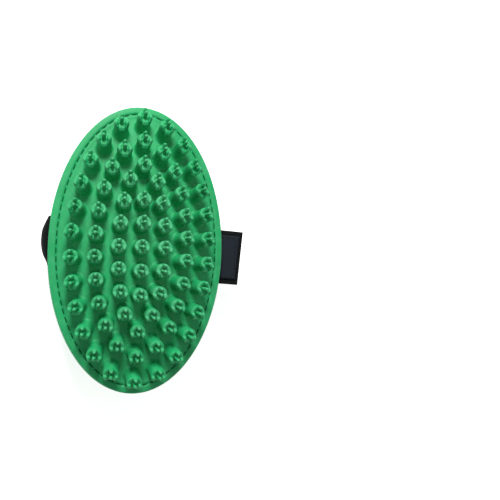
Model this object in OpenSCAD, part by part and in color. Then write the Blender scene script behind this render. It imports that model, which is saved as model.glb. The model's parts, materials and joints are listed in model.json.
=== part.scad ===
// Palm curry brush: an oval domed rubber face with crowned nubs, sewn to a padded back,
// and a hook-and-loop hand strap across the back. The brush lies on its strap, nubs up.
// +Z points out of the nub face, +Y along the oval, +X towards the free end of the strap.
// The origin is under the middle of the pad, on the surface that the strap lies on.

/* [Pad] */
// Length of the oval pad
pad_l = 160; // [150:1:170]
// Width of the oval pad
pad_w = 98; // [94:1:104]
// Rise of the domed face above its rim
dome_rise = 8; // [7:0.5:10]
// Thickness of the rubber sheet
face_t = 2.6; // [2.2:0.1:3.2]
// Thickness of the back panel
back_t = 2; // [1.8:0.1:3]
// Width of the sewn margin around the foam core
margin_w = 8; // [7:0.5:10]

/* [Nubs] */
// Height of a nub from the sheet to the tip of its centre pin
nub_h = 13; // [11:0.5:14]
// Radius of the crown at the top of a nub
crown_r = 4.2; // [3.9:0.1:4.4]
// Radius of a nub's flared foot
foot_r = 5.2; // [4.8:0.1:5.5]
// Radius of a nub's centre pin
pin_r = 0.95; // [0.8:0.05:1.1]
// Width of the open gap at the top of a crown's front, which faces -Y
crown_gap = 4.2; // [3.6:0.1:4.6]
// Width at the top of the two dips between a crown's back finger and its side fingers
dip_w = 4.6; // [4:0.1:5]
// Nubs in the outer ring
outer_nubs = 26; // [20:2:26]
// Nubs in the second ring
second_nubs = 22; // [16:2:22]
// Nubs in the inner ring
inner_nubs = 16; // [12:2:16]
// Nubs in the row down the middle
row_nubs = 5; // [3:2:5]
// Pitch of the row down the middle
row_pitch = 12.2; // [11.5:0.1:12.5]

/* [Strap] */
// Width of the webbing
strap_w = 31; // [25:1:32]
// Thickness of the webbing
strap_t = 1.5; // [1.2:0.1:1.6]
// Height of the hand space between the strap and the back panel
hand_h = 26.5; // [26:0.5:30]
// How far the strap's fold stands out past the rim
fold_out = 4; // [3.5:0.25:5]
// How far the free tail stands out past the rim
tail_out = 13; // [8:0.5:16]
// Angle at which the strap lies askew across the back
skew = 1.9; // [0:0.1:5]
// Width of the hook tape and the loop tape
tape_w = 25; // [20:1:25]
// Thickness of each tape
tape_t = 1; // [0.8:0.1:1.1]

/* [Stitching] */
// Pitch of the stitches round the rim
rim_pitch = 4.7; // [4.5:0.1:6]
// Length of a stitch on the rim
rim_stitch = 3.9; // [3:0.1:4]
// Distance from the rim to the stitch line
rim_inset = 4.7; // [4:0.1:6]
// Pitch of the stitches on the straps
tape_pitch = 3; // [2.5:0.1:4]

/* [Hidden] */

rubber_green = [0.13, 0.55, 0.3];
webbing_black = [0.07, 0.08, 0.09];
tape_grey = [0.12, 0.14, 0.16];
thread_green = [0.02, 0.25, 0.12];
thread_black = [0.03, 0.03, 0.03];

// Heights above the surface that the brush lies on
z_back = strap_t + hand_h;
z_sheet = z_back + back_t;
z_rim = z_sheet + face_t;
z_top = z_rim + dome_rise + nub_h + 10;

// The dome is a patch of a torus whose two radii bring its edge level with the flat margin,
// a little way outside the foam core
half_w = pad_w / 2;
half_l = pad_l / 2;
dome_past = 1.5;
dome_w = half_w - margin_w + dome_past;
dome_l = half_l - margin_w + dome_past;
across_r = (dome_w * dome_w + dome_rise * dome_rise) / (2 * dome_rise);
along_r = (dome_l * dome_l + dome_rise * dome_rise) / (2 * dome_rise);
torus_r = along_r - across_r;
dome_z0 = z_rim + dome_rise - along_r;
dome_spare = 4;
function dome_z(x, y) = dome_z0 + sqrt(pow(torus_r + sqrt(pow(across_r, 2) - x * x), 2) - y * y);

// The nubs fan out from the middle: these are the heights of the fan's two focal lines
fan_across = 95;
fan_along = 119;
nub_inset_across = 14.4;
nub_inset_along = 11.5;
ring_gap_across = 11.5;
ring_gap_along = 12.8;

// The moulded pattern of nubs sits a little off the middle of the sewn outline
nub_shift = [-0.4, -0.7];

// The heights, radii and widths within one nub
nub_root = 0.5;
nub_stem = 5;
flare_h = 2.6;
trunk_r = 3.9;
swell_h = 1;
pin_h = 4.8;
back_h = 4;
side_h = 2.5;
finger_t = 2.3;
pin_clear = 0.2;
pin_taper = 0.8;
dip_above = 1.2;
dip_floor = 1;
gap_floor = 2.6;
front_past = 0.6;
crown_floor = nub_h - pin_h;

// The fit of one layer inside another
layer_gap = 0.1;

thread_d = 0.7;
tape_thread_d = 0.5;
thread_sunk = 0.15;

// Each dash of a stitch line, and how far a tape's stitch lines lie in from its edges and corners
tape_stitch = 0.6 * tape_pitch;
edge_in = 1;
corner_in = 1.5;

// The strap lies off centre by this much, and its free end is cut this many degrees off square
strap_shift = 0.45;
end_cut = 2.7;

// The strap's course, as points of x, z and heading, where heading 0 is +X and 90 is +Z
fold_r = fold_out - strap_t / 2;
z_root = z_sheet - strap_t / 2;
z_hinge = z_root - fold_r;
side_r = z_hinge - strap_t / 2;
slope_a = 60;
bend_r = 8;
tape_clear = 0.5;
crease_play = 0.35;
tail_drop = 3.15;
level_inset = 9.5;
root_depth = 9;
z_tail = z_back - strap_t - tail_drop;
x_tail = half_w - level_inset;
slope_rise = z_tail - strap_t / 2 - 2 * bend_r * (1 - cos(slope_a));
slope_len = slope_rise / sin(slope_a);
x_flat = x_tail - 2 * bend_r * sin(slope_a) - slope_len * cos(slope_a);
hinge_gap = strap_t / 2 + crease_play;

function turn_pts(p, turn, r, steps = 12) = [
    for (i = [0 : steps])
        let (h = p[2] + turn * i / steps, s = sign(turn))
            [
                p[0] + s * r * (sin(h) - sin(p[2])),
                p[1] + s * r * (cos(p[2]) - cos(h)),
                h
            ]
];
function ahead(p, d) = [p[0] + d * cos(p[2]), p[1] + d * sin(p[2]), p[2]];
function last(pts) = pts[len(pts) - 1];
function tail_of(pts) = [for (i = [1 : len(pts) - 1]) pts[i]];

root_start = [-half_w + root_depth, z_root, 180];
rim_exit = [-half_w, z_root, 180];
fold_turn = 90 - hinge_gap / fold_r * 180 / PI;
root_course = concat([root_start], turn_pts(rim_exit, fold_turn, fold_r));
strap_hinge = [-half_w - fold_r, z_hinge, 270];
side_course = turn_pts(strap_hinge, 90, side_r, 24);
tail_hinge = [x_flat, strap_t / 2, 0];
hand_course = concat(side_course, [ahead(tail_hinge, -hinge_gap)]);
slope_start = turn_pts(tail_hinge, slope_a, bend_r);
slope_end = ahead(last(slope_start), slope_len);
tail_bend = turn_pts(slope_end, -slope_a, bend_r);
x_end = half_w + tail_out;
end_spare = 1;
tail_end = [x_end + end_spare, z_tail, 0];
tape_inset = 2;
seam_inset = 2.7;
tail_course = concat(slope_start, tail_bend, [tail_end]);
tape_course = concat([last(slope_start)], tail_bend, [ahead(tail_end, -tape_inset)]);
tape_seam = concat([last(slope_start)], tail_bend, [ahead(tail_end, -end_spare - seam_inset)]);

// The keeper is sewn under the right-hand side and runs down along the inside of the slope
keeper_seam = 10;
keeper_bend_r = 3.5;
flap_end_z = 7.5;
loop_from = 1.5;
loop_short = 0.5;
z_keeper = z_back - strap_t / 2;
keeper_off = strap_t + 2 * tape_t + tape_clear;
z_flap = z_keeper - keeper_bend_r * (1 - cos(slope_a));
slope_up = (z_flap - slope_end[1] - keeper_off * cos(slope_a)) / sin(slope_a);
x_flap = slope_end[0] - keeper_off * sin(slope_a) + slope_up * cos(slope_a);
x_bend = x_flap + keeper_bend_r * sin(slope_a);
keeper_hinge = [x_flap, z_flap, 180 + slope_a];
flap_len = (z_flap - flap_end_z) / sin(slope_a);
keeper_start = [x_bend + keeper_seam, z_keeper, 180];
keeper_turn = slope_a - hinge_gap / keeper_bend_r * 180 / PI;
keeper_course = concat([keeper_start], turn_pts([x_bend, z_keeper, 180], keeper_turn, keeper_bend_r));
flap_course = [keeper_hinge, ahead(keeper_hinge, flap_len)];
loop_course = [ahead(keeper_hinge, loop_from), ahead(keeper_hinge, flap_len - loop_short)];

// A band of thickness t that follows a course, at a distance to its left given by side
module band(course, t, w, side = 0) {
    left = [for (p = course) [p[0] - (side + t / 2) * sin(p[2]), p[1] + (side + t / 2) * cos(p[2])]];
    right = [for (p = course) [p[0] - (side - t / 2) * sin(p[2]), p[1] + (side - t / 2) * cos(p[2])]];
    back = [for (i = [len(right) - 1 : -1 : 0]) right[i]];
    rotate([90, 0, 0])
        linear_extrude(height = w, center = true)
            polygon(concat(left, back));
}

// The rounded end of a band, where it turns about a crease
module crease(p, w) {
    translate([p[0], 0, p[1]])
        rotate([90, 0, 0])
            cylinder(d = strap_t, h = w, center = true, $fn = 32);
}

// The straps lie a little askew and off centre across the pad
module askew() {
    translate([0, strap_shift, 0])
        rotate([0, 0, -skew])
            children();
}

// The strap's free end is cut a few degrees off square, and its tape stops short of it
module cut_end(inset) {
    difference() {
        children();
        translate([x_end - inset, 0, z_tail - bend_r])
            rotate([0, 0, -end_cut])
                translate([0, -strap_w, 0])
                    cube([2 * bend_r, 2 * strap_w, 2 * bend_r]);
    }
}

// A stitch lying along the X axis
module stitch(length, d) {
    rotate([0, 90, 0])
        cylinder(d = d, h = length, center = true, $fn = 16);
}

// Stitches along both edges and both ends of a tape, on the band's two faces
module tape_stitches(course, upper, lower, w) {
    steps = [for (i = [0 : len(course) - 2]) norm([for (k = [0, 1]) course[i + 1][k] - course[i][k]])];
    total = [for (i = 0, s = 0; i < len(course); s = s + (i < len(steps) ? steps[i] : 0), i = i + 1) s];
    function at(s, k) = lookup(s, [for (i = [0 : len(course) - 1]) [total[i], course[i][k]]]);
    long = last(total);
    line = long - 2 * edge_in;
    rows = floor(line / tape_pitch);
    wide = w - 2 * corner_in;
    across = floor(wide / tape_pitch);
    for (side = [upper, lower], i = [0 : rows - 1], edge = [-1, 1])
        let (s = edge_in + (i + 0.5) * line / rows, x = at(s, 0), z = at(s, 1), h = at(s, 2))
            translate([x - side * sin(h), edge * (w / 2 - edge_in), z + side * cos(h)])
                rotate([0, -h, 0])
                    stitch(tape_stitch, tape_thread_d);
    for (side = [upper, lower], j = [0 : across - 1], s = [edge_in, long - edge_in])
        let (x = at(s, 0), z = at(s, 1), h = at(s, 2))
            translate([x - side * sin(h), (j + 0.5 - across / 2) * wide / across, z + side * cos(h)])
                rotate([0, -h, 0])
                    rotate([0, 0, 90])
                        stitch(tape_stitch, tape_thread_d);
}

// An upright oval block whose outline lies inset from the rim
module oval_block(inset, z0, z1) {
    translate([0, 0, z0])
        linear_extrude(height = z1 - z0)
            scale([(half_w - inset) / half_l, (half_l - inset) / half_l])
                circle(r = half_l, $fn = 240);
}

// Everything under the dome's surface, to well below the back panel
module under_dome(drop) {
    span = 2 * asin((half_l + dome_spare) / along_r);
    deep = z_rim - z_back + dome_rise + dome_spare;
    translate([0, 0, dome_z0])
        rotate([0, 90, 0])
            rotate([0, 0, 180 - span / 2])
                rotate_extrude(angle = span, $fn = 256)
                    intersection() {
                        translate([torus_r, 0])
                            circle(r = across_r - drop, $fn = 256);
                        translate([along_r - deep, -half_w - dome_spare])
                            square([deep, pad_w + 2 * dome_spare]);
                    }
}

// The points of an oval ring, spaced equally along it from its far end
function ring_angles(a, b, count) =
    let (
        n = 360,
        pts = [for (i = [0 : n]) [-a * sin(i), b * cos(i)]],
        run = [for (i = 0, s = 0; i <= n; s = s + (i < n ? norm(pts[i + 1] - pts[i]) : 0), i = i + 1) [s, i]]
    )
    [for (k = [0 : count - 1]) lookup(last(run)[0] * k / count, run)];
function ring(a, b, count) = [for (t = ring_angles(a, b, count)) [-a * sin(t), b * cos(t)]];
function ring_across(i) = half_w - nub_inset_across - i * ring_gap_across;
function ring_along(i) = half_l - nub_inset_along - i * ring_gap_along;

// A notch out through a crown's wall along +X, narrow at its floor and wide at its top
module notch(floor_w, top_w, above, top) {
    translate([pin_r + pin_clear, 0, crown_floor])
        rotate([90, 0, 90])
            linear_extrude(height = crown_r)
                polygon([[-floor_w / 2, above], [floor_w / 2, above], [top_w / 2, top], [-top_w / 2, top]]);
}

// One nub: a flared foot, a trunk, and a crown of two side fingers, a taller back finger
// and a still taller pin in the middle
module nub() {
    flare = [for (a = [0 : 15 : 90]) [foot_r - (foot_r - trunk_r) * sin(a), flare_h * (1 - cos(a))]];
    profile = concat(
        [[0, -nub_stem], [foot_r, -nub_stem]],
        flare,
        [
            [crown_r, crown_floor - swell_h],
            [crown_r, crown_floor + back_h],
            [crown_r - finger_t, crown_floor + back_h],
            [crown_r - finger_t, crown_floor],
            [0, crown_floor]
        ]
    );
    pin = [
        [0, crown_floor - swell_h],
        [pin_r, crown_floor - swell_h],
        [pin_r, crown_floor],
        [pin_r * pin_taper, nub_h],
        [0, nub_h]
    ];
    difference() {
        rotate_extrude($fn = 48)
            polygon(profile);
        for (turn = [30, 150])
            rotate([0, 0, turn])
                notch(dip_floor, dip_w, dip_above, back_h + 0.01);
        rotate([0, 0, -90])
            notch(gap_floor, crown_gap, 0, side_h + 0.01);
        translate([-2 * crown_r, -2 * crown_r, crown_floor + side_h])
            cube([4 * crown_r, 2 * crown_r + front_past, back_h]);
    }
    rotate_extrude($fn = 48)
        polygon(pin);
}

// Turns its children so that their axis leans out by the two slopes
module lean(slopes) {
    rotate(a = atan(norm(slopes)), v = [-slopes[1], slopes[0] + 1e-6, 0])
        children();
}

// Nubs stand on the dome at the given points and fan outwards, each cut off just inside the sheet
module nubs(points) {
    for (p = points)
        let (x = p[0] + nub_shift[0], y = p[1] + nub_shift[1])
            translate([x, y, dome_z(x, y)])
                difference() {
                    lean([p[0] / fan_across, p[1] / fan_along])
                        nub();
                    lean([x / across_r, y / along_r])
                        translate([-2 * foot_r, -2 * foot_r, -nub_root - 2 * nub_stem])
                            cube([4 * foot_r, 4 * foot_r, 2 * nub_stem]);
                }
}

module rubber_face() {
    color(rubber_green)
        difference() {
            union() {
                oval_block(0, z_sheet, z_rim);
                intersection() {
                    oval_block(margin_w / 2, z_sheet, z_top);
                    under_dome(0);
                }
            }
            intersection() {
                oval_block(margin_w, z_sheet - 1, z_top);
                under_dome(face_t);
            }
        }
}

module nubs_outer_ring() {
    color(rubber_green)
        nubs(ring(ring_across(0), ring_along(0), outer_nubs));
}

module nubs_second_ring() {
    color(rubber_green)
        nubs(ring(ring_across(1), ring_along(1), second_nubs));
}

module nubs_inner_ring() {
    color(rubber_green)
        nubs(ring(ring_across(2), ring_along(2), inner_nubs));
}

module nubs_centre_row() {
    color(rubber_green)
        nubs([for (i = [0 : row_nubs - 1]) [0, (i - (row_nubs - 1) / 2) * row_pitch]]);
}

// The foam fills the hollow between the sheet and the back panel
module foam_core() {
    color("dimgray")
        intersection() {
            oval_block(margin_w + layer_gap, z_sheet, z_top);
            under_dome(face_t + layer_gap);
        }
}

// The back panel, with the pocket in its rim that the strap's root is sewn into
module back_panel() {
    color([0.1, 0.3, 0.2])
        difference() {
            oval_block(0, z_back, z_sheet);
            askew()
                translate([-half_w - fold_out, -strap_w / 2 - layer_gap, z_sheet - strap_t])
                    cube([root_depth + fold_out + layer_gap, strap_w + 2 * layer_gap, strap_t + 1]);
        }
}

// Lock stitches through the rim: dashes on the face, and between them dashes on the back
module rim_stitching() {
    a = half_w - rim_inset;
    b = half_l - rim_inset;
    around = PI * (3 * (a + b) - sqrt((3 * a + b) * (a + 3 * b)));
    count = round(around / rim_pitch);
    front = ring_angles(a, b, 2 * count);
    color(thread_green)
        for (i = [0 : 2 * count - 1])
            let (
                t = front[i],
                x = -a * sin(t),
                y = b * cos(t),
                z = i % 2 == 0 ? max(z_rim, dome_z(x, y)) - thread_sunk : z_back + thread_sunk
            )
                translate([x, y, z])
                    rotate([0, 0, atan2(-b * sin(t), -a * cos(t))])
                        stitch(rim_stitch, thread_d);
}

// The strap's root: sewn into the rim, then folded down round it
module strap_root() {
    color(webbing_black)
        askew()
            band(root_course, strap_t, strap_w);
}

// The part of the strap that goes round the hand
module hand_strap() {
    color(webbing_black)
        askew() {
            band(hand_course, strap_t, strap_w);
            crease(strap_hinge, strap_w);
        }
}

// The end of the strap, which presses onto the keeper and stands out past the rim
module strap_tail() {
    color(webbing_black)
        askew() {
            cut_end(0)
                band(tail_course, strap_t, strap_w);
            crease(tail_hinge, strap_w);
        }
}

module hook_tape() {
    color(tape_grey)
        askew()
            cut_end(tape_inset)
                band(tape_course, tape_t, tape_w, strap_t / 2 + tape_t / 2);
}

module hook_tape_stitching() {
    color(thread_black)
        askew()
            tape_stitches(tape_seam, strap_t / 2 + tape_t - thread_sunk, -strap_t / 2 + thread_sunk, tape_w);
}

// The keeper's root, sewn flat under the back panel, and bent down towards the hand
module keeper_root() {
    color(webbing_black)
        askew()
            band(keeper_course, strap_t, strap_w);
}

// The box of stitches that holds the keeper's root
module keeper_root_stitching() {
    long = keeper_seam - 2 * corner_in;
    wide = strap_w - 4 * edge_in;
    x_mid = x_bend + (keeper_seam + edge_in) / 2;
    count = floor(wide / tape_pitch);
    color(thread_black)
        askew()
            translate([x_mid, 0, z_back - strap_t + thread_sunk]) {
                for (side = [-1, 1], j = [0 : count - 1])
                    translate([side * long / 2, (j + 0.5 - count / 2) * wide / count, 0])
                        rotate([0, 0, 90])
                            stitch(tape_stitch, tape_thread_d);
                for (side = [-1, 1], j = [-1, 0, 1])
                    translate([j * long / 3, side * wide / 2, 0])
                        stitch(tape_stitch, tape_thread_d);
            }
}

// The keeper's flap, which turns at its root
module keeper_flap() {
    color(webbing_black)
        askew() {
            band(flap_course, strap_t, strap_w);
            crease(keeper_hinge, strap_w);
        }
}

module loop_tape() {
    color(tape_grey)
        askew()
            band(loop_course, tape_t, tape_w, strap_t / 2 + tape_t / 2);
}

module loop_tape_stitching() {
    color(thread_black)
        askew()
            tape_stitches(loop_course, strap_t / 2 + tape_t - thread_sunk, -strap_t / 2 + thread_sunk, tape_w);
}

rubber_face();
nubs_outer_ring();
nubs_second_ring();
nubs_inner_ring();
nubs_centre_row();
foam_core();
back_panel();
rim_stitching();
strap_root();
hand_strap();
strap_tail();
hook_tape();
hook_tape_stitching();
keeper_root();
keeper_root_stitching();
keeper_flap();
loop_tape();
loop_tape_stitching();
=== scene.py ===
"""The looks of a rubber curry brush: an oval green pad with crowned nubs, on its black hand strap.

Lengths are in millimetres and angles in degrees, apart from what Blender takes directly: object
coordinates, bump distances, lights, floor and camera are in metres and radians. UV lengths along
straps and threads are in millimetres.
Courses of straps are lists of (x, z, heading), where heading 0 is +X and 90 is +Z.
"""

import json
import math

import bpy
import numpy as np
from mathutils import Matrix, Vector


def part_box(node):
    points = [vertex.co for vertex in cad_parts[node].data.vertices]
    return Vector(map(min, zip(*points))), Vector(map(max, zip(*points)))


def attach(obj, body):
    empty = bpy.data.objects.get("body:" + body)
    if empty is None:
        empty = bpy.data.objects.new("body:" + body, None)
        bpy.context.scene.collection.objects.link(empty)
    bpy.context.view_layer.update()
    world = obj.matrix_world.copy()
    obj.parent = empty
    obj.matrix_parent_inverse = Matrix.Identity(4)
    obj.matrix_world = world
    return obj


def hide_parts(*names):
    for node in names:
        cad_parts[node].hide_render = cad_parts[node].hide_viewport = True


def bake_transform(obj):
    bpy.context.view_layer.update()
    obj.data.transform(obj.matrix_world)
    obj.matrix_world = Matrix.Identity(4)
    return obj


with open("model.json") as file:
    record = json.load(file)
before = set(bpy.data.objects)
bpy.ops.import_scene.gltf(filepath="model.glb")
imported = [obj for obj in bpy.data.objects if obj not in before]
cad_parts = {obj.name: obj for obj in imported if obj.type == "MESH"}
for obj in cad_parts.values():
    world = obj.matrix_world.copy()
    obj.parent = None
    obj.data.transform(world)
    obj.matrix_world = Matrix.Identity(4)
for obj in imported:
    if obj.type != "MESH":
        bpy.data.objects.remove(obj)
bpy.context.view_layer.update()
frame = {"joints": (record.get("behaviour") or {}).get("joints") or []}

MM = 0.001


# ---------------------------------------------------------------- dimensions

def box_mm(node):
    """The lowest and highest corner of a CAD node, in millimetres."""
    low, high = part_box(node)
    return np.array(low) / MM, np.array(high) / MM


face_low, face_high = box_mm("rubber_face")
HALF_W, HALF_L = face_high[0], face_high[1]
Z_BACK = box_mm("back_panel")[0][2]
Z_SHEET = face_low[2]
DOME_RISE = 8.0
Z_RIM = face_high[2] - DOME_RISE
FACE_T = Z_RIM - Z_SHEET
MARGIN_W = 8.0
# The dome comes down to the rim's level this far outside the margin's inner edge
DOME_PAST = 1.5

DOME_W = HALF_W - MARGIN_W + DOME_PAST
DOME_L = HALF_L - MARGIN_W + DOME_PAST
ACROSS_R = (DOME_W ** 2 + DOME_RISE ** 2) / (2 * DOME_RISE)
ALONG_R = (DOME_L ** 2 + DOME_RISE ** 2) / (2 * DOME_RISE)
DOME_Z0 = Z_RIM + DOME_RISE - ALONG_R
# How softly the dome eases into the margin
CREASE = 0.6

joints = {j["name"]: j for j in frame["joints"]}
AXIS = joints["strap_fold"]["axis"]
SKEW = -math.atan2(AXIS[0], AXIS[1])
fold_at = joints["strap_fold"]["pos_m"]
STRAP_SHIFT = (fold_at[1] - fold_at[0] * math.tan(SKEW)) / MM


def joint_xz(name):
    """A strap joint's place in the strap's own upright plane."""
    at = joints[name]["pos_m"]
    return at[0] / math.cos(SKEW) / MM, at[2] / MM


def dome_z(x, y):
    """The height of the dome that the foam fills."""
    ridge = ALONG_R - ACROSS_R + np.sqrt(np.maximum(ACROSS_R ** 2 - x * x, 0))
    return DOME_Z0 + np.sqrt(np.maximum(ridge * ridge - y * y, 0))


def face_z(x, y):
    """The height of the pad's face: the dome, easing into the flat margin around it."""
    rise = dome_z(x, y) - Z_RIM
    return Z_RIM + (rise + np.sqrt(rise * rise + CREASE ** 2)) / 2


# ------------------------------------------------------------ mesh building

def make_piece(name, points, faces, material, uvs=None):
    """A smooth-shaded mesh object from points in millimetres."""
    mesh = bpy.data.meshes.new(name)
    mesh.from_pydata([tuple(p) for p in np.asarray(points) * MM], [], faces)
    mesh.polygons.foreach_set("use_smooth", [True] * len(mesh.polygons))
    if uvs is not None:
        layer = mesh.uv_layers.new(name="UVMap")
        at = np.zeros(len(mesh.loops), np.int32)
        mesh.loops.foreach_get("vertex_index", at)
        layer.data.foreach_set("uv", np.asarray(uvs, np.float32)[at].ravel())
    mesh.validate()
    mesh.update()
    mesh.materials.append(material)
    piece = bpy.data.objects.new(name, mesh)
    bpy.context.scene.collection.objects.link(piece)
    return piece


def grid_faces(rows, columns, first=0, ring=True):
    """Quads between successive rows of points; a ring's last column joins its first."""
    faces = []
    for r in range(rows - 1):
        for c in range(columns if ring else columns - 1):
            d = (c + 1) % columns
            a, b = first + r * columns, first + (r + 1) * columns
            faces.append((a + c, a + d, b + d, b + c))
    return faces


def flipped(faces):
    """The same faces, seen from their other side."""
    return [tuple(reversed(f)) for f in faces]


def smooth_step(t):
    """Eases from 0 to 1 as t goes from 0 to 1."""
    t = np.clip(t, 0, 1)
    return t * t * (3 - 2 * t)


def skewed(points):
    """Turns points or directions the way that the straps lie across the pad."""
    points = np.array(points, float)
    x, y = points[..., 0].copy(), points[..., 1].copy()
    points[..., 0] = x * math.cos(SKEW) - y * math.sin(SKEW)
    points[..., 1] = x * math.sin(SKEW) + y * math.cos(SKEW)
    return points


def laid(points):
    """Points of the straps, moved from the middle of the strap to where it lies."""
    return skewed(points) + np.array([0, STRAP_SHIFT, 0])


def strap_point(x, z):
    """A point of the straps' upright plane, where the strap lies, in metres."""
    return tuple(laid([x, 0, z]) * MM)


# ---------------------------------------------------------------- materials

def srgb(r, g, b):
    """A colour on screen, 0 to 255, as the linear colour that nodes take."""
    def linear(v):
        v /= 255
        return v / 12.92 if v <= 0.04045 else ((v + 0.055) / 1.055) ** 2.4
    return linear(r), linear(g), linear(b), 1.0


# The rubber's two mottled greens, and one pale green used both for dust patches and for the painted
# highlight on the nubs' tips
RUBBER_DEEP, RUBBER_BRIGHT, RUBBER_DUST_AND_HIGHLIGHT = srgb(0, 150, 84), srgb(10, 162, 94), srgb(120, 196, 156)
FOAM_PORE, FOAM_WALL = srgb(46, 48, 50), srgb(86, 88, 90)
CLOTH_DARK, CLOTH_LIGHT, CLOTH_WEAVE = srgb(70, 138, 100), srgb(92, 158, 120), srgb(40, 92, 62)
WEB_DARK, WEB_LIGHT, WEB_FUZZ = srgb(3, 5, 6), srgb(17, 20, 21), srgb(36, 38, 37)
HOOK_DARK, HOOK_LIGHT, HOOK_FUZZ = srgb(16, 25, 34), srgb(22, 31, 41), srgb(18, 27, 36)
LOOP_DARK, LOOP_LIGHT = srgb(14, 16, 18), srgb(48, 52, 55)
PAPER_DARK, PAPER_LIGHT = srgb(236, 236, 236), srgb(240, 240, 240)
# The back cover's weave repeats at this pitch, in metres
CLOTH_PITCH = 0.0009
# The webbing's columns and ribs, the hooks' rows across and along, and the plies of thread
WEB_COLUMN, WEB_RIB = 1.5, 1.1
HOOK_ACROSS, HOOK_ALONG = 1.3, 1.6
PLY_PITCH = 0.45


class Shader:
    """A Principled material whose nodes are added and linked in short calls."""

    def __init__(self, name, **settings):
        self.material = bpy.data.materials.new(name)
        self.material.use_nodes = True
        self.tree = self.material.node_tree
        self.bsdf = self.tree.nodes["Principled BSDF"]
        for socket, value in settings.items():
            self.bsdf.inputs[socket.replace("_", " ")].default_value = value

    def add(self, kind, inputs=None, **settings):
        """Adds a node; an input is a value, or another node's output to link."""
        node = self.tree.nodes.new("ShaderNode" + kind)
        for key, value in settings.items():
            setattr(node, key, value)
        for key, value in (inputs or {}).items():
            if isinstance(value, bpy.types.NodeSocket):
                self.tree.links.new(value, node.inputs[key])
            else:
                node.inputs[key].default_value = value
        return node

    def math(self, operation, a, b=0.0):
        return self.add("Math", {0: a, 1: b}, operation=operation).outputs[0]

    def noise(self, vector, scale, detail=2.0, roughness=0.5):
        inputs = {"Vector": vector, "Scale": scale, "Detail": detail, "Roughness": roughness}
        return self.add("TexNoise", inputs).outputs["Fac"]

    def ramp(self, value, low, high, low_out=0.0, high_out=1.0):
        inputs = {0: value, 1: low, 2: high, 3: low_out, 4: high_out}
        return self.add("MapRange", inputs).outputs[0]

    def mix(self, factor, a, b):
        inputs = {0: factor, 6: a, 7: b}
        return self.add("Mix", inputs, data_type="RGBA").outputs[2]

    def wave(self, value, pitch):
        """0 to 1 and back, once in each pitch."""
        turns = self.math("MULTIPLY", value, 2 * math.pi / pitch)
        return self.ramp(self.math("SINE", turns), -1, 1)

    def colour(self, socket):
        self.tree.links.new(socket, self.bsdf.inputs["Base Color"])

    def rough(self, socket):
        self.tree.links.new(socket, self.bsdf.inputs["Roughness"])

    def bump(self, height, distance, strength=1.0):
        inputs = {"Height": height, "Distance": distance, "Strength": strength}
        node = self.add("Bump", inputs)
        self.tree.links.new(node.outputs[0], self.bsdf.inputs["Normal"])

    def place(self):
        return self.add("TexCoord").outputs["Object"]

    def uv(self):
        parts = self.add("SeparateXYZ", {0: self.add("TexCoord").outputs["UV"]})
        return parts.outputs[0], parts.outputs[1]


# Heights above the table, in metres, between which the rubber is painted paler: a painted highlight on the
# nubs' tips
TIP_HIGHLIGHT_FROM, TIP_HIGHLIGHT_TO = 0.044, 0.052


def rubber_material():
    """Green rubber, mottled and dusty in patches, with a painted highlight that makes the tips of the nubs
    paler.
    """
    s = Shader("green_rubber", Specular_IOR_Level=0.45)
    at = s.place()
    mottle = s.noise(at, 45, 3)
    dust = s.noise(at, 260, 4, 0.6)
    grain = s.noise(at, 1500, 4, 0.65)
    body = s.mix(s.ramp(mottle, 0.35, 0.65), RUBBER_DEEP, RUBBER_BRIGHT)
    height = s.add("SeparateXYZ", {0: at}).outputs[2]
    # Painted highlight: the higher the rubber stands, the paler it is painted, up to 0.3 on the nubs' tips
    tip_highlight = s.ramp(height, TIP_HIGHLIGHT_FROM, TIP_HIGHLIGHT_TO, 0, 0.3)
    # Real dust in random patches, plus the painted highlight on the tips
    dust_and_highlight = s.math("ADD", s.ramp(dust, 0.45, 0.75, 0.02, 0.16), tip_highlight)
    s.colour(s.mix(dust_and_highlight, body, RUBBER_DUST_AND_HIGHLIGHT))
    s.rough(s.ramp(dust, 0.3, 0.7, 0.55, 0.68))
    s.bump(grain, 0.00006, 0.6)
    return s.material


def foam_material():
    """Grey foam with open cells."""
    s = Shader("foam", Roughness=0.95)
    at = s.place()
    cells = s.add("TexVoronoi", {"Vector": at, "Scale": 900.0}).outputs["Distance"]
    s.colour(s.mix(s.ramp(cells, 0, 0.7), FOAM_PORE, FOAM_WALL))
    s.bump(cells, 0.0004)
    return s.material


def cloth_material():
    """The back cover: a dense plain weave, dusty green."""
    s = Shader("back_fabric", Roughness=0.88, Specular_IOR_Level=0.2, Sheen_Weight=0.25)
    parts = s.add("SeparateXYZ", {0: s.place()})
    warp, weft = s.wave(parts.outputs[0], CLOTH_PITCH), s.wave(parts.outputs[1], CLOTH_PITCH)
    weave = s.math("ABSOLUTE", s.math("SUBTRACT", warp, weft))
    slub = s.noise(s.place(), 350, 3)
    tone = s.mix(s.ramp(slub, 0.3, 0.7), CLOTH_DARK, CLOTH_LIGHT)
    s.colour(s.mix(s.ramp(weave, 0, 1, 0, 0.4), tone, CLOTH_WEAVE))
    s.bump(weave, 0.00012)
    return s.material


def webbing_material():
    """Nylon webbing: ribs across the strap, split into fine columns along it."""
    s = Shader("webbing", Specular_IOR_Level=0.15)
    across, along = s.uv()
    columns = s.wave(across, WEB_COLUMN)
    shift = s.math("MULTIPLY", s.ramp(columns, 0.45, 0.55), WEB_RIB / 2)
    shifted = s.math("ADD", along, shift)
    ribs = s.wave(shifted, WEB_RIB)
    knit = s.math("MULTIPLY", ribs, s.ramp(columns, 0, 1, 0.6, 1))
    fuzz = s.noise(s.add("TexCoord").outputs["UV"], 2.2, 4, 0.7)
    tone = s.mix(s.ramp(knit, 0.1, 0.9), WEB_DARK, WEB_LIGHT)
    s.colour(s.mix(s.ramp(fuzz, 0.5, 0.8, 0, 0.4), tone, WEB_FUZZ))
    s.rough(s.ramp(fuzz, 0.3, 0.7, 0.6, 0.85))
    s.bump(knit, 0.0002)
    return s.material


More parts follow.
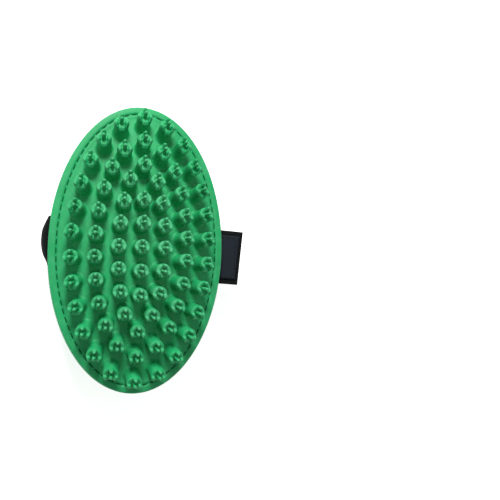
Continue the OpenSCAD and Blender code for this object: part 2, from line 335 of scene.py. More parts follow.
def hook_material():
    """The stiff hooked tape: rows of small hooks on a tight weave."""
    s = Shader("hook_tape", Specular_IOR_Level=0.22)
    across, along = s.uv()
    hooks = s.math("MULTIPLY", s.wave(across, HOOK_ACROSS), s.wave(along, HOOK_ALONG))
    fuzz = s.noise(s.add("TexCoord").outputs["UV"], 1.6, 4, 0.6)
    tone = s.mix(s.ramp(hooks, 0.2, 0.9), HOOK_DARK, HOOK_LIGHT)
    s.colour(s.mix(s.ramp(fuzz, 0.4, 0.75, 0, 0.4), tone, HOOK_FUZZ))
    s.rough(s.ramp(fuzz, 0.3, 0.7, 0.6, 0.78))
    s.bump(hooks, 0.00008)
    return s.material


def loop_material():
    """The soft tape: brushed loops."""
    s = Shader("loop_tape", Roughness=0.95, Specular_IOR_Level=0.1, Sheen_Weight=0.6)
    uv = s.add("TexCoord").outputs["UV"]
    pile = s.noise(uv, 1.4, 6, 0.75)
    s.colour(s.mix(s.ramp(pile, 0.35, 0.7), LOOP_DARK, LOOP_LIGHT))
    s.bump(pile, 0.0006)
    return s.material


def thread_material(name, dark, light):
    """Twisted thread: slanting plies along each stitch."""
    s = Shader(name, Roughness=0.7, Specular_IOR_Level=0.15)
    round_it, along = s.uv()
    slant = s.math("MULTIPLY", round_it, PLY_PITCH)
    plies = s.wave(s.math("ADD", along, slant), PLY_PITCH)
    s.colour(s.mix(plies, dark, light))
    s.bump(plies, 0.00006)
    return s.material


RUBBER = rubber_material()
FOAM = foam_material()
CLOTH = cloth_material()
WEBBING = webbing_material()
HOOKS = hook_material()
LOOPS = loop_material()
GREEN_THREAD = thread_material("green_thread", srgb(0, 80, 40), srgb(2, 100, 56))
BLACK_THREAD = thread_material("black_thread", srgb(8, 9, 10), srgb(34, 36, 38))


def settle(piece, body, nodes):
    """Puts a finished piece on its body, in place of its CAD nodes."""
    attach(piece, body)
    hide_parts(*nodes)
    return piece


# ---------------------------------------------------------------- the sheet

STITCH_INSET = 4.7
# The groove that the stitches pull: its depth and spread
GROOVE, GROOVE_SPREAD = 0.4, 0.5
# The soft ridges on both sides of it: their distance from it, their spread, and each one's height
RIDGE_OFF, RIDGE_SPREAD = 1.4, 0.8
INNER_RIDGE, OUTER_RIDGE = 0.16, 0.12
# The sheet's outline lies this far inside the oval. Its rolled lip is this deep, and so many times as wide
EDGE = 0.5
LIP, LIP_SPREAD = 0.7, 1.6
# Near the rim the sheet droops: how far, where that starts, and over what run
DROOP, DROOP_FROM, DROOP_RUN = 0.45, 4, 3.5
# Points round each row, and the inset at which rows stop following the rim and shrink to the middle
AROUND = 288
CORE = 12
# How far the margin's underside is raised off its CAD level, and the insets of the rows along it and
# up the hollow
UNDER_GAP = 0.05
UNDER_ROWS = (EDGE, 3, MARGIN_W)
HOLLOW_ROWS = (MARGIN_W, 12, 20, 30, 40, 46)
# Degrees round the lip at each of its rows
LIP_TURNS = range(0, 91, 15)
# Insets of the rows over the dome, then over its foot and the margin, close together at the stitch line
INNER_ROWS = [HALF_W - 3 * k for k in range(1, 13)]
MARGIN_ROWS = [12, 11, 10, 9, 8.3, 7.6, 7, 6.5, 6, 5.6, 5.3, 5.05, 4.85, 4.7, 4.55,
               4.35, 4.1, 3.7, 3.2, 2.7, 2.2]


def oval_row(half_w, half_l, count=AROUND):
    """Points round an oval, anticlockwise."""
    turn = np.linspace(0, 2 * math.pi, count, endpoint=False)
    return half_w * np.cos(turn), half_l * np.sin(turn)


def sheet_relief(inset):
    """How far the stitch line pulls the sheet down between soft ridges, and how its edge droops."""
    def swell(middle, spread):
        return math.exp(-((inset - middle) / spread) ** 2)

    groove = GROOVE * swell(STITCH_INSET, GROOVE_SPREAD)
    inner = INNER_RIDGE * swell(STITCH_INSET + RIDGE_OFF, RIDGE_SPREAD)
    outer = OUTER_RIDGE * swell(STITCH_INSET - RIDGE_OFF, RIDGE_SPREAD)
    droop = DROOP * max(0, (DROOP_FROM - inset) / DROOP_RUN) ** 2
    return groove - inner - outer + droop


def rubber_sheet():
    """The domed sheet with a rolled edge, closed below by its hollow underside."""
    rows = []

    def place(inset):
        share = 1.0 if inset <= CORE else (HALF_W - inset) / (HALF_W - CORE)
        inset = min(inset, CORE)
        return oval_row(share * (HALF_W - inset), share * (HALF_L - inset))

    def upper(inset, drop):
        x, y = place(inset)
        rows.append(np.stack([x, y, face_z(x, y) - drop], 1))

    def level(inset, z):
        x, y = place(inset)
        rows.append(np.stack([x, y, np.full(len(x), z)], 1))

    for inset in INNER_ROWS + MARGIN_ROWS:
        upper(inset, sheet_relief(inset))
    for lean in LIP_TURNS:
        a = math.radians(lean)
        inset = EDGE + LIP * LIP_SPREAD * (1 - math.sin(a))
        upper(inset, sheet_relief(inset) + LIP * (1 - math.cos(a)))
    for inset in UNDER_ROWS:
        level(inset, Z_SHEET + UNDER_GAP)
    for inset in HOLLOW_ROWS:
        x, y = place(inset)
        rows.append(np.stack([x, y, dome_z(x, y) - FACE_T], 1))
    top = np.array([[0, 0, face_z(0, 0)]])
    points = [top] + rows + [top - [0, 0, FACE_T]]
    last = 1 + len(rows) * AROUND
    faces = flipped(grid_faces(len(rows), AROUND, 1))
    for c in range(AROUND):
        d = (c + 1) % AROUND
        faces.append((0, 1 + c, 1 + d))
        faces.append((last, last - AROUND + d, last - AROUND + c))
    return make_piece("rubber_sheet", np.concatenate(points), faces, RUBBER)


settle(rubber_sheet(), "pad", ["rubber_face"])


# ----------------------------------------------------------------- the nubs

NUB_H, FLOOR_H = 13.0, 8.0
TRUNK_R, CROWN_R, FOOT_R = 4.0, 4.25, 5.5
STEM_H, SWELL_H = 4.0, 6.6
# Each nub flares out to the face in a curve. Its steps, and its two handles: one on the face at this
# share of the foot's radius, and one this share of the stem's height below the stem's top
FLARE_STEPS = (0, 0.14, 0.28, 0.42, 0.56, 0.7, 0.85, 1)
FLARE_IN, FLARE_DOWN = 0.72, 0.6
# How deep the foot is sunk into the face
FOOT_SINK = 0.06
# The nubs fan out: their slope is their place over these
FAN_ACROSS, FAN_ALONG = 95.0, 119.0
# The pattern's place on the pad, its outer ring's inset, and the gaps between rings and in the row
NUB_SHIFT = (-0.4, -0.7)
NUB_INSET = (14.4, 11.5)
RING_GAP = (11.5, 12.8)
ROW_PITCH = 12.2
# Each ring's name and how many nubs it has, and how many the row in the middle has
RINGS = [("outer_ring", 26), ("second_ring", 22), ("inner_ring", 16)]
ROW_COUNT = 5
# The spread of the small differences between nubs: their two slopes, and their fingers' height
WOBBLE = (0.008, 0.008, 0.02)
# Heights above the crown's floor: the wall, the two side fingers and the back finger
WALL_H, SIDE_H, BACK_H = 1.3, 2.8, 4.2
# Half the width of the front gap at its foot and at its top, and the side fingers' angle from it
GAP = (1.45, 2.1)
SIDE_TURN = 67
# Half the flat top of a finger along the wall, and the fall beyond it
SIDE_TOP, SIDE_FALL = 0.65, 0.9
BACK_TOP, BACK_FALL = 0.5, 0.8
MID_R = 3.1
# The floor is raised to this share of the wall, apart from its front
RAISED = 0.6
# It rises from this angle off the front, over so many degrees
RAISE_FROM, RAISE_OVER = 55, 40
# In the gap the trunk is bevelled, from this radius out to its edge
BEVEL_R, BEVEL = 3.3, 1.5
# Rows of the trunk below the crown: radius, height, and the share of the bevel that reaches it
NECK_ROWS = [(TRUNK_R + 0.06, (STEM_H + SWELL_H) / 2, 0.35), (TRUNK_R + 0.12, SWELL_H, 0.72),
             (CROWN_R - 0.04, FLOOR_H - 0.8, 0.88)]
# Angles round a crown from its front gap, close together where its fingers rise
TURNS = (0, 10, 19, 24, 28, 32, 37, 43, 49, 55, 61, 67, 74, 81, 88, 95, 105, 120, 135, 145,
         151, 156, 161, 166, 171, 175.5, 180)
OFFSETS = np.array([-t for t in TURNS[-2:0:-1]] + list(TURNS), float)
# Rows of the crown from its outer wall in over the fingers and down to its floor:
# radius, and height as a share of the crown's height there
CROWN_ROWS = [(4.25, 0.03), (4.22, 0.3), (4.13, 0.6), (3.93, 0.82), (3.6, 0.96), (3.2, 1.0),
              (2.75, 0.98), (2.35, 0.88), (2.1, 0.68), (1.95, 0.4), (1.85, 0.12), (1.8, 0.0)]
# Rows of the pin from its foot to its tip: radius, and height above the floor
PIN_ROWS = [(1.74, -0.25), (1.5, -0.35), (1.25, -0.3), (1.1, -0.1), (1.04, 0.3), (1.0, 2.2),
            (0.94, 3.8), (0.84, 4.5), (0.5, 4.9)]


# How many points the way round an oval is measured with
FINE = 2881


def spaced_round(half_w, half_l, count):
    """Points spaced equally round an oval, from its far end."""
    turn = np.linspace(0, 2 * math.pi, FINE)
    x, y = -half_w * np.sin(turn), half_l * np.cos(turn)
    run = np.concatenate([[0], np.cumsum(np.hypot(np.diff(x), np.diff(y)))])
    at = np.linspace(0, run[-1], count, endpoint=False)
    return np.stack([np.interp(at, run, x), np.interp(at, run, y)], 1)


def crown_height(radius):
    """The fingers' height above the wall round a circle, and how open the front is there."""
    turn = np.abs(OFFSETS)
    aside = np.where(turn < 90, radius * np.sin(np.radians(turn)), CROWN_R)
    closed = smooth_step((aside - GAP[0]) / (GAP[1] - GAP[0]))

    def finger(middle, height, top, fall):
        arc = MID_R * np.abs(np.radians(turn - middle))
        return (height - WALL_H) * (1 - smooth_step((arc - top) / fall))

    side = finger(SIDE_TURN, SIDE_H, SIDE_TOP, SIDE_FALL)
    back = finger(180, BACK_H, BACK_TOP, BACK_FALL)
    return (side + back) * closed, 1 - closed


def nub_points(x, y, wobble):
    """The points of one nub, row by row, and its tip."""
    slope = np.array([x / FAN_ACROSS, y / FAN_ALONG]) + wobble[:2]
    up = np.array([slope[0], slope[1], 1]) / math.hypot(1, *slope)
    tilt = np.cross([0, 0, 1], up)
    sine = np.linalg.norm(tilt)
    tilt = tilt / sine if sine > 1e-9 else np.array([1.0, 0, 0])
    turn = np.radians(OFFSETS - 90)
    flat = np.stack([np.cos(turn), np.sin(turn), np.zeros(len(turn))], 1)
    cosine = up[2]
    out = (flat * cosine + np.cross(tilt, flat) * sine
           + tilt * (flat @ tilt)[:, None] * (1 - cosine))
    x, y = x + NUB_SHIFT[0], y + NUB_SHIFT[1]
    base = np.array([x, y, face_z(x, y)])
    rows = []

    def ring(radius, height):
        height = np.broadcast_to(height, len(OFFSETS))
        rows.append(base + out * radius + up * height[:, None])

    def on_face(radius):
        spot = base + flat * radius
        spot[:, 2] = face_z(spot[:, 0], spot[:, 1])
        return spot

    foot, inward = on_face(FOOT_R), on_face(FOOT_R * FLARE_IN)
    foot[:, 2] -= FOOT_SINK
    top = base + out * TRUNK_R + up * STEM_H
    below = top - up * STEM_H * FLARE_DOWN
    for t in FLARE_STEPS:
        s = 1 - t
        rows.append(foot * s ** 3 + inward * 3 * s * s * t + below * 3 * s * t * t + top * t ** 3)
    front = crown_height(CROWN_R)[1]
    for radius, height, share in NECK_ROWS:
        ring(radius, height - BEVEL * front * share)
    for radius, share in CROWN_ROWS:
        tall, front = crown_height(radius)
        bevel = BEVEL * max(0, (radius - BEVEL_R) / (CROWN_R - BEVEL_R))
        wall = share if radius > MID_R else max(share, RAISED)
        wall_top = FLOOR_H - bevel * front + WALL_H * wall * (1 - front)
        ring(radius, wall_top + tall * share * (1 + wobble[2]))
    raised = WALL_H * RAISED * smooth_step((np.abs(OFFSETS) - RAISE_FROM) / RAISE_OVER)
    for radius, height in PIN_ROWS:
        ring(radius, FLOOR_H + np.maximum(height, raised + min(height, 0)))
    return np.concatenate(rows), base + up * NUB_H


def nub_ring(name, node, places, seed):
    """All the nubs of one ring, moulded with small differences."""
    random = np.random.default_rng(seed)
    points, faces, first = [], [], 0
    for x, y in places:
        wobble = random.normal(0, WOBBLE)
        rows, tip = nub_points(x, y, wobble)
        count = len(rows) // len(OFFSETS)
        faces += grid_faces(count, len(OFFSETS), first)
        last = first + len(rows)
        for c in range(len(OFFSETS)):
            d = (c + 1) % len(OFFSETS)
            faces.append((last - len(OFFSETS) + c, last - len(OFFSETS) + d, last))
        points += [rows, tip[None]]
        first = last + 1
    piece = make_piece(name, np.concatenate(points), faces, RUBBER)
    return settle(piece, "pad", [node])


for k, (ring_name, ring_count) in enumerate(RINGS):
    ring_w = HALF_W - NUB_INSET[0] - k * RING_GAP[0]
    ring_l = HALF_L - NUB_INSET[1] - k * RING_GAP[1]
    nub_ring("crowned_" + ring_name, "nubs_" + ring_name, spaced_round(ring_w, ring_l, ring_count), k)
row_spots = [(0, (k - ROW_COUNT // 2) * ROW_PITCH) for k in range(ROW_COUNT)]
nub_ring("crowned_centre_row", "nubs_centre_row", row_spots, len(RINGS))


# ------------------------------------------------------- foam and back cover

# Rows over the top and under the bottom of a block, as shares of its half widths
TOP_SHARES = (0.97, 0.9, 0.8, 0.65, 0.5, 0.35, 0.2, 0.08)
BOTTOM_SHARES = (0.9, 0.6, 0.3, 0.08)


def solid_oval(name, levels, top_of, material):
    """A closed oval block: rows of (inset, height) up its side, then over its top."""
    rows = []
    for inset, z in levels:
        x, y = oval_row(HALF_W - inset, HALF_L - inset)
        rows.append(np.stack([x, y, np.full(len(x), z)], 1))
    inset, level = levels[-1]
    for share in TOP_SHARES:
        x, y = oval_row(share * (HALF_W - inset), share * (HALF_L - inset))
        rows.append(np.stack([x, y, top_of(x, y, level)], 1))
    inset, bottom = levels[0]
    for share in BOTTOM_SHARES:
        x, y = oval_row(share * (HALF_W - inset), share * (HALF_L - inset))
        rows.insert(0, np.stack([x, y, np.full(len(x), bottom)], 1))
    low, high = np.array([[0, 0, bottom]]), top_of(np.zeros(1), np.zeros(1), level)
    points = [low] + rows + [np.array([[0, 0, high[0]]])]
    last = 1 + len(rows) * AROUND
    faces = grid_faces(len(rows), AROUND, 1)
    for c in range(AROUND):
        d = (c + 1) % AROUND
        faces.append((0, 1 + d, 1 + c))
        faces.append((last, last - AROUND + c, last - AROUND + d))
    return make_piece(name, np.concatenate(points), faces, material)


# The gap round the foam
FIT = 0.15
FOAM_LEVELS = [(MARGIN_W + 0.3, Z_SHEET + FIT), (MARGIN_W + FIT, Z_SHEET + FIT + 0.05)]
foam = solid_oval(
    "foam_filling",
    FOAM_LEVELS,
    lambda x, y, z: np.maximum(dome_z(x, y) - FACE_T - FIT, z),
    FOAM,
)
settle(foam, "pad", ["foam_core"])

# The cover's rounded lower edge
EDGE_R = 0.6
COVER_LEVELS = [(EDGE + EDGE_R, Z_BACK), (EDGE + EDGE_R * 0.3, Z_BACK + 0.2), (EDGE, Z_BACK + EDGE_R),
                (EDGE, Z_SHEET - 0.35), (EDGE + 0.12, Z_SHEET - 0.1), (EDGE + 0.35, Z_SHEET - 0.02)]
cover = solid_oval(
    "back_cover",
    COVER_LEVELS,
    lambda x, y, z: np.full(len(x), z),
    CLOTH,
)
settle(cover, "pad", ["back_panel"])


# ----------------------------------------------------------------- stitches

STITCH_STEPS, STITCH_SIDES = 8, 6
# How deep a stitch's ends dip, as a share of its width, and how thin they get, as a share squared
STITCH_DIP, STITCH_TAPER = 0.7, 0.02


def stitch_rows(centre, along, normal, length, width):
    """One stitch: a short thread that dips into the cloth at both ends."""
    side = np.cross(normal, along)
    rows, uvs = [], []
    for k in range(STITCH_STEPS + 1):
        t = 2 * k / STITCH_STEPS - 1
        radius = width / 2 * math.sqrt(max(1 - abs(t) ** 4, STITCH_TAPER))
        middle = centre + along * (t * length / 2) - normal * (width * STITCH_DIP * t ** 4)
        for j in range(STITCH_SIDES):
            a = 2 * math.pi * j / STITCH_SIDES
            rows.append(middle + side * (radius * math.cos(a)) + normal * (radius * math.sin(a)))
            uvs.append((j / STITCH_SIDES, t * length / 2))
    return rows, uvs


def stitches(name, places, length, width, material):
    """A run of stitches as one piece; a place is (centre, along, normal)."""
    points, uvs, faces = [], [], []
    for centre, along, normal in places:
        centre, along, normal = (np.array(v, float) for v in (centre, along, normal))
        rows, uv = stitch_rows(centre, along, normal, length, width)
        first, past = len(points), len(points) + len(rows)
        faces += flipped(grid_faces(STITCH_STEPS + 1, STITCH_SIDES, first))
        faces.append(tuple(range(first, first + STITCH_SIDES)))
        faces.append(tuple(reversed(range(past - STITCH_SIDES, past))))
        points += rows
        uvs += uv
    return make_piece(name, points, faces, material, uvs)


RIM_PITCH, RIM_STITCH, RIM_THREAD = 4.7, 4.0, 0.65
# How far a rim stitch's middle lies above its groove's floor, and below the back
RIM_PROUD, BACK_PROUD = 0.2, 0.05


def rim_places():
    """Lock stitches: on the face, and between them on the back."""
    a, b = HALF_W - STITCH_INSET, HALF_L - STITCH_INSET
    around = math.pi * (3 * (a + b) - math.sqrt((3 * a + b) * (a + 3 * b)))
    spots = spaced_round(a, b, 2 * round(around / RIM_PITCH))
    for k, (x, y) in enumerate(spots):
        along = spots[(k + 1) % len(spots)] - spots[k - 1]
        along = np.append(along / np.linalg.norm(along), 0)
        if k % 2 == 0:
            yield (x, y, face_z(x, y) - GROOVE + RIM_PROUD), along, (0, 0, 1)
        else:
            yield (x, y, Z_BACK - BACK_PROUD), along, (0, 0, -1)


rim = stitches("rim_thread", list(rim_places()), RIM_STITCH, RIM_THREAD, GREEN_THREAD)
settle(rim, "pad", ["rim_stitching"])


# ------------------------------------------------------------------- straps

STRAP_W, STRAP_T = 31.0, 1.5
TAPE_W, TAPE_T = 25.0, 1.0
# How steeply the tail climbs and the keeper hangs, and the radii of their bends
SLOPE = 60.0
BEND_R = 8.0
KEEPER_BEND_R = 3.5
# How far in from the rim the strap's root starts
ROOT_DEPTH = 9.0
# Where the strap's two pieces meet
LAP_X = -5.0
# The free end's slant: how far it moves along the strap for each step across it
END_CUT = math.tan(math.radians(2.7))
# Points across half a webbing near its selvedge, as shares of that half
SELVEDGE = np.array([0.965, 0.93, 0.88, 0.8])
# It starts at this share of the half width. The face inside it is thinner, and its outermost points
# round off, as shares of the half thickness
SELVEDGE_FROM = 0.9
FACE_SHARE, ROUND_SHARE = 0.9, 0.93
# The two corners of each edge, as shares of the half width and the half thickness
CORNER_OUT, CORNER_UP = 0.99, 0.55
# Steps in the arcs of the strap's fold and side, the tail's bends and the keeper's bend
FOLD_STEPS, SIDE_STEPS, BEND_STEPS, KEEPER_STEPS = 8, 44, 14, 10
# The longest step between points along a strap
BAND_STEP = 0.9


def turned(start, turn, radius, steps):
    """The points of an arc that starts at a course point and turns by so many degrees."""
    x, z, heading = start
    sign = math.copysign(1, turn)
    found = []
    for k in range(steps + 1):
        h = math.radians(heading + turn * k / steps)
        h0 = math.radians(heading)
        found.append((x + sign * radius * (math.sin(h) - math.sin(h0)),
                      z + sign * radius * (math.cos(h0) - math.cos(h)),
                      math.degrees(h)))
    return found


def ahead(start, distance):
    """The course point straight ahead of another."""
    x, z, heading = start
    h = math.radians(heading)
    return x + distance * math.cos(h), z + distance * math.sin(h), heading


def filled(course, step):
    """The same course with extra points along its straight stretches."""
    found = [course[0]]
    for a, b in zip(course, course[1:]):
        length = math.hypot(b[0] - a[0], b[1] - a[1])
        pieces = max(1, math.ceil(length / step))
        for k in range(1, pieces + 1):
            t = k / pieces
            found.append(tuple(a[i] + (b[i] - a[i]) * t for i in range(3)))
    return found


def lengths_of(course):
    """The run from a course's start to each of its points."""
    path = np.array([(x, z) for x, z, _ in course])
    return np.concatenate([[0], np.cumsum(np.linalg.norm(np.diff(path, axis=0), axis=1))])


def section(width, thickness):
    """A webbing's outline across it, as points of y and offset: flat faces, firm round selvedges."""
    half, thick = width / 2, thickness / 2
    across = np.concatenate([SELVEDGE, np.linspace(0.7, -0.7, 15), -SELVEDGE[::-1]])
    body = np.where(np.abs(across) > SELVEDGE_FROM, 1.0, FACE_SHARE) * thick
    body[[0, -1]] = thick * ROUND_SHARE
    top = np.stack([across * half, body], 1)
    out, up = CORNER_OUT * half, CORNER_UP * thick
    cap = [(-out, up), (-half, 0), (-out, -up)]
    low = np.stack([-across * half, -body], 1)
    other = [(out, -up), (half, 0), (out, up)]
    return np.concatenate([top, cap, low, other])


def band(name, course, width, thickness, material, side=0.0, shape=None, start_run=0.0):
    """A strip that follows a course at a distance to its left, given by side."""
    course = filled(course, BAND_STEP)
    run = lengths_of(course)
    outline = section(width, thickness)
    points, uvs = [], []
    for (x, z, heading), s in zip(course, run):
        h = math.radians(heading)
        for y, off in outline:
            points.append((x - (side + off) * math.sin(h), y, z + (side + off) * math.cos(h)))
            uvs.append((y, s + start_run))
    points = np.array(points)
    if shape is not None:
        points = shape(points, np.repeat(run, len(outline)))
    faces = grid_faces(len(course), len(outline))
    faces.append(tuple(reversed(range(len(outline)))))
    faces.append(tuple(range(len(points) - len(outline), len(points))))
    return make_piece(name, laid(points), faces, material, uvs)


HINGE_X, HINGE_Z = joint_xz("strap_fold")
FOLD_R = -HALF_W - HINGE_X
SIDE_R = HINGE_Z - STRAP_T / 2
TAIL_X, TAIL_Z = joint_xz("tail_peel")
rim_exit = (-HALF_W, HINGE_Z + FOLD_R, 180.0)
root_start = (-HALF_W + ROOT_DEPTH, HINGE_Z + FOLD_R, 180.0)
fold = turned(rim_exit, 90, FOLD_R, FOLD_STEPS)
side_arc = turned(fold[-1], 90, SIDE_R, SIDE_STEPS)
HAND_COURSE = [root_start] + fold + side_arc[1:] + [(LAP_X, STRAP_T / 2, 360.0)]

# The strap's run from its start to the rim, to its hinge, and to the end of its side
TO_RIM = ROOT_DEPTH
TO_HINGE = TO_RIM + FOLD_R * math.pi / 2
TO_FLAT = TO_HINGE + SIDE_R * math.pi / 2

# Degrees round the fold, from -90 at the rim through 0 at the hinge, with a value at each: how far the
# whole strap is moved in towards the pad, how much further its edges are, the share by which it narrows,
# and how much of the tilt shows
FOLD_MIDDLE = ([-90, -30, 0, 18, 45, 65], [0, 0.3, 0.5, 1.75, 0.4, 0])
FOLD_EDGE = ([-110, -90, -45, 0, 18, 45, 70], [0, 1.2, 2.6, 4.3, 5.0, 3.6, 0])
FOLD_NARROW = ([-110, -90, 45, 80], [0.13, 0.13, 0.11, 0])
FOLD_TILTED = ([-90, -50, 30, 65], [0, 1, 1, 0])
# The tilt: places across the strap, and how far each is moved in
FOLD_TILT = ([-15, -9, 1.5, 6.5], [1.7, 0.8, 0.5, 0])
# About half the narrowed strap's width
FOLD_HALF = 13.4


def crowned_fold(points, run):
    """The strap stands out in the middle of its width where it leaves the rim, and its edges draw in."""
    degrees = np.where(run < TO_HINGE, -90 * (TO_HINGE - run) / (TO_HINGE - TO_RIM),
                       90 * (run - TO_HINGE) / (TO_FLAT - TO_HINGE))
    middle = np.interp(degrees, *FOLD_MIDDLE)
    edge = np.interp(degrees, *FOLD_EDGE)
    narrow = np.interp(degrees, *FOLD_NARROW)
    lopsided = np.interp(points[:, 1], *FOLD_TILT)
    lopsided *= np.interp(degrees, *FOLD_TILTED)
    points = points.copy()
    points[:, 1] *= 1 - narrow
    points[:, 0] += middle + edge * (points[:, 1] / FOLD_HALF) ** 2 + lopsided
    return points


hand = band("hand_webbing", HAND_COURSE, STRAP_W, STRAP_T, WEBBING, shape=crowned_fold)
strap_point(-HALF_W, HINGE_Z + 2.4)
strap_point(-HALF_W, HINGE_Z - 3.4)
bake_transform(hand)
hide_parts("strap_root", "hand_strap")

TAIL_HIGH = box_mm("strap_tail")[1][2] - STRAP_T / 2
tail_hinge = (TAIL_X, STRAP_T / 2, 0.0)
first_bend = turned(tail_hinge, SLOPE, BEND_R, BEND_STEPS)
rise = TAIL_HIGH - STRAP_T / 2 - 2 * BEND_R * (1 - math.cos(math.radians(SLOPE)))
slope_end = ahead(first_bend[-1], rise / math.sin(math.radians(SLOPE)))
last_bend = turned(slope_end, -SLOPE, BEND_R, BEND_STEPS)
tail_reach = box_mm("strap_tail")[1][0] + STRAP_W / 2 * math.sin(SKEW)
TAIL_END_X = tail_reach / math.cos(SKEW) - STRAP_W / 2 * END_CUT
# The tape and its seam stop this far short of the strap's end
TAPE_SHORT, SEAM_SHORT = 2, 2.7
tail_end = (TAIL_END_X, last_bend[-1][1], 0.0)
TAIL_COURSE = [(LAP_X, STRAP_T / 2, 0.0)] + first_bend + last_bend + [tail_end]
TAPE_COURSE = [first_bend[-1]] + last_bend + [ahead(tail_end, -TAPE_SHORT)]
TAPE_SEAM = [first_bend[-1]] + last_bend + [ahead(tail_end, -SEAM_SHORT)]


def slanted_end(points, run):
    """The free end of the strap is cut a little off square."""
    points = points.copy()
    near = smooth_step((points[:, 0] - last_bend[-1][0]) / (TAIL_END_X - last_bend[-1][0]))
    points[:, 0] += near * END_CUT * points[:, 1]
    return points


tail = band("tail_webbing", TAIL_COURSE, STRAP_W, STRAP_T, WEBBING, shape=slanted_end,
            start_run=TO_FLAT + LAP_X - side_arc[-1][0])
strap_point(TAIL_X - 4, TAIL_Z)
strap_point(TAIL_X + 4, TAIL_Z)
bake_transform(tail)
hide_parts("strap_tail")

hooks = band("hook_strip", TAPE_COURSE, TAPE_W, TAPE_T, HOOKS, side=STRAP_T / 2 + TAPE_T / 2,
             shape=slanted_end)
settle(hooks, "tail", ["hook_tape"])


TAPE_PITCH, TAPE_STITCH, TAPE_THREAD = 3.0, 2.0, 0.5
# The stitch lines' distance from a tape's edges, and how far the ones across it stay from its sides
TAPE_INSET, TAPE_CORNER = 1, 1.5
# How far a stitch's middle lies off the cloth
THREAD_OFF = 0.02


def tape_places(course, upper, lower, width):
    """Stitches along both edges and both ends of a tape, on its two faces."""
    run = lengths_of(course)
    path = np.array(course)
    total = run[-1]

    def at(s, side):
        x, z, heading = (np.interp(s, run, path[:, i]) for i in range(3))
        h = math.radians(heading)
        normal = np.array([-math.sin(h), 0, math.cos(h)])
        return np.array([x, 0, z]) + normal * side, np.array([math.cos(h), 0, math.sin(h)]), normal

    long, wide = total - 2 * TAPE_INSET, width - 2 * TAPE_CORNER
    along_count = int(long // TAPE_PITCH)
    across_count = int(wide // TAPE_PITCH)
    for side in (upper, lower):
        sign = 1 if side == upper else -1
        for k in range(along_count):
            spot, along, normal = at(TAPE_INSET + (k + 0.5) * long / along_count, side)
            for edge in (-1, 1):
                yield spot + np.array([0, edge * (width / 2 - TAPE_INSET), 0]), along, normal * sign
        for k in range(across_count):
            for s in (TAPE_INSET, total - TAPE_INSET):
                spot, along, normal = at(s, side)
                y = (k + 0.5 - across_count / 2) * wide / across_count
                yield spot + np.array([0, y, 0]), (0, 1, 0), normal * sign


def laid_places(places):
    """Stitch places of the straps, each (centre, along, normal), where the strap lies."""
    return [(laid(centre), skewed(along), skewed(normal)) for centre, along, normal in places]


def tape_stitches(name, course, body, node):
    """The stitches that hold a tape, on its own face and on the back of its strap."""
    upper, lower = STRAP_T / 2 + TAPE_T + THREAD_OFF, -STRAP_T / 2 - THREAD_OFF
    places = laid_places(tape_places(filled(course, 1.0), upper, lower, TAPE_W))
    piece = stitches(name, places, TAPE_STITCH, TAPE_THREAD, BLACK_THREAD)
    return settle(piece, body, [node])


tape_stitches("hook_strip_thread", TAPE_SEAM, "tail", "hook_tape_stitching")

# The keeper is sewn under the right-hand side and runs down inside the slope
KEEPER_X, KEEPER_Z = joint_xz("keeper_turn")
KEEPER_SEAM = 10.0
# The height of the flap's end, and how far the loop tape starts from the hinge and stops short of the end
FLAP_LOW = 7.5
LOOP_FROM, LOOP_SHORT = 1.5, 0.5
# The two rows of stitches in the keeper's root: their distance from its middle, and stitches in each
ROOT_ROW_OFF, ROOT_ROW_COUNT = 3, 9
keeper_top = Z_BACK - STRAP_T / 2
keeper_bend_x = KEEPER_X + KEEPER_BEND_R * math.sin(math.radians(SLOPE))
FLAP_LEN = (KEEPER_Z - FLAP_LOW) / math.sin(math.radians(SLOPE))
keeper_bend = turned((keeper_bend_x, keeper_top, 180.0), SLOPE, KEEPER_BEND_R, KEEPER_STEPS)
keeper_hinge = keeper_bend[-1]
keeper_start = (keeper_bend_x + KEEPER_SEAM, keeper_top, 180.0)
KEEPER_COURSE = [keeper_start] + keeper_bend + [ahead(keeper_hinge, FLAP_LEN)]
LOOP_COURSE = [ahead(keeper_hinge, LOOP_FROM), ahead(keeper_hinge, FLAP_LEN - LOOP_SHORT)]

keeper = band("keeper_webbing", KEEPER_COURSE, STRAP_W, STRAP_T, WEBBING)
strap_point(KEEPER_X + 2.1, KEEPER_Z + 1.8)
strap_point(KEEPER_X - 1.7, KEEPER_Z - 3)
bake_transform(keeper)
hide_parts("keeper_root", "keeper_flap")

loops = band("loop_strip", LOOP_COURSE, TAPE_W, TAPE_T, LOOPS, side=STRAP_T / 2 + TAPE_T / 2)
settle(loops, "keeper", ["loop_tape"])
tape_stitches("loop_strip_thread", LOOP_COURSE, "keeper", "loop_tape_stitching")


def keeper_seam_places():
    """Two rows of stitches through the keeper's root."""
    middle = keeper_bend_x + KEEPER_SEAM / 2
    z = keeper_top - STRAP_T / 2 - THREAD_OFF
    for x in (middle - ROOT_ROW_OFF, middle + ROOT_ROW_OFF):
        for k in range(ROOT_ROW_COUNT):
            yield (x, (k - ROOT_ROW_COUNT // 2) * TAPE_PITCH, z), (0, 1, 0), (0, 0, -1)


seam = stitches("keeper_seam_thread", laid_places(keeper_seam_places()), TAPE_STITCH, TAPE_THREAD,
                BLACK_THREAD)
settle(seam, "pad", ["keeper_root_stitching"])


# ---------------------------------------------------------- floor and lights

# Half the floor's width and its height, in metres
FLOOR_HALF, FLOOR_Z = 4.0, -0.0003
# How strongly the floor and the surroundings shine
FLOOR_GLOW, WORLD_LIGHT = 0.72, 0.22
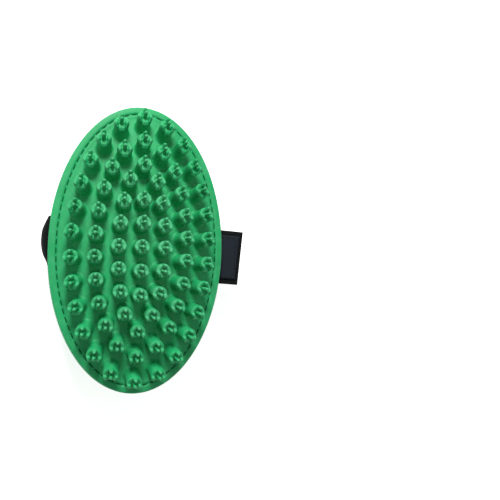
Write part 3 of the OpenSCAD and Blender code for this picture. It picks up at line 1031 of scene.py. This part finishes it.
# The camera's place in metres and its turn in radians, and its lens and sensor in millimetres
CAMERA_PLACE = (-0.09683, -0.04733, 0.54518)
CAMERA_TURN = (0.0837, -0.3087, 0.0308)
CAMERA_LENS, CAMERA_SENSOR = 67.81, 36


def floor_material():
    """Pale paper that glows a little, so that it stays an even white."""
    s = Shader("studio_table", Roughness=0.9, Specular_IOR_Level=0.1)
    paper = s.noise(s.place(), 40, 2)
    s.colour(s.mix(paper, PAPER_DARK, PAPER_LIGHT))
    s.bsdf.inputs["Emission Color"].default_value = (1, 1, 1, 1)
    s.bsdf.inputs["Emission Strength"].default_value = FLOOR_GLOW
    return s.material


floor_mesh = bpy.data.meshes.new("floor")
corners = [(x * FLOOR_HALF, y * FLOOR_HALF, FLOOR_Z) for x, y in ((-1, -1), (1, -1), (1, 1), (-1, 1))]
floor_mesh.from_pydata(corners, [], [(0, 1, 2, 3)])
floor_mesh.materials.append(floor_material())
floor = bpy.data.objects.new("floor", floor_mesh)
bpy.context.scene.collection.objects.link(floor)


def area_light(name, place, size, power, aim=(0, 0, 0.03)):
    """A square soft box in metres, pointed at the brush."""
    light = bpy.data.lights.new(name, "AREA")
    light.size = size
    light.energy = power
    lamp = bpy.data.objects.new(name, light)
    lamp.location = place
    lamp.rotation_euler = (Vector(aim) - Vector(place)).to_track_quat("-Z", "Y").to_euler()
    bpy.context.scene.collection.objects.link(lamp)


area_light("key", place=(-0.2, 0.88, 0.86), size=0.42, power=19)
area_light("fill", place=(0.3, -0.1, 1.3), size=1.2, power=3)

world = bpy.data.worlds.new("studio")
world.use_nodes = True
world.node_tree.nodes["Background"].inputs["Color"].default_value = (1, 1, 1, 1)
world.node_tree.nodes["Background"].inputs["Strength"].default_value = WORLD_LIGHT
bpy.context.scene.world = world
bpy.context.scene.view_settings.view_transform = "Standard"

camera_data = bpy.data.cameras.new("camera")
camera_data.sensor_width = CAMERA_SENSOR
camera_data.lens = CAMERA_LENS
camera = bpy.data.objects.new("camera", camera_data)
camera.location = CAMERA_PLACE
camera.rotation_euler = CAMERA_TURN
bpy.context.scene.collection.objects.link(camera)
bpy.context.scene.camera = camera
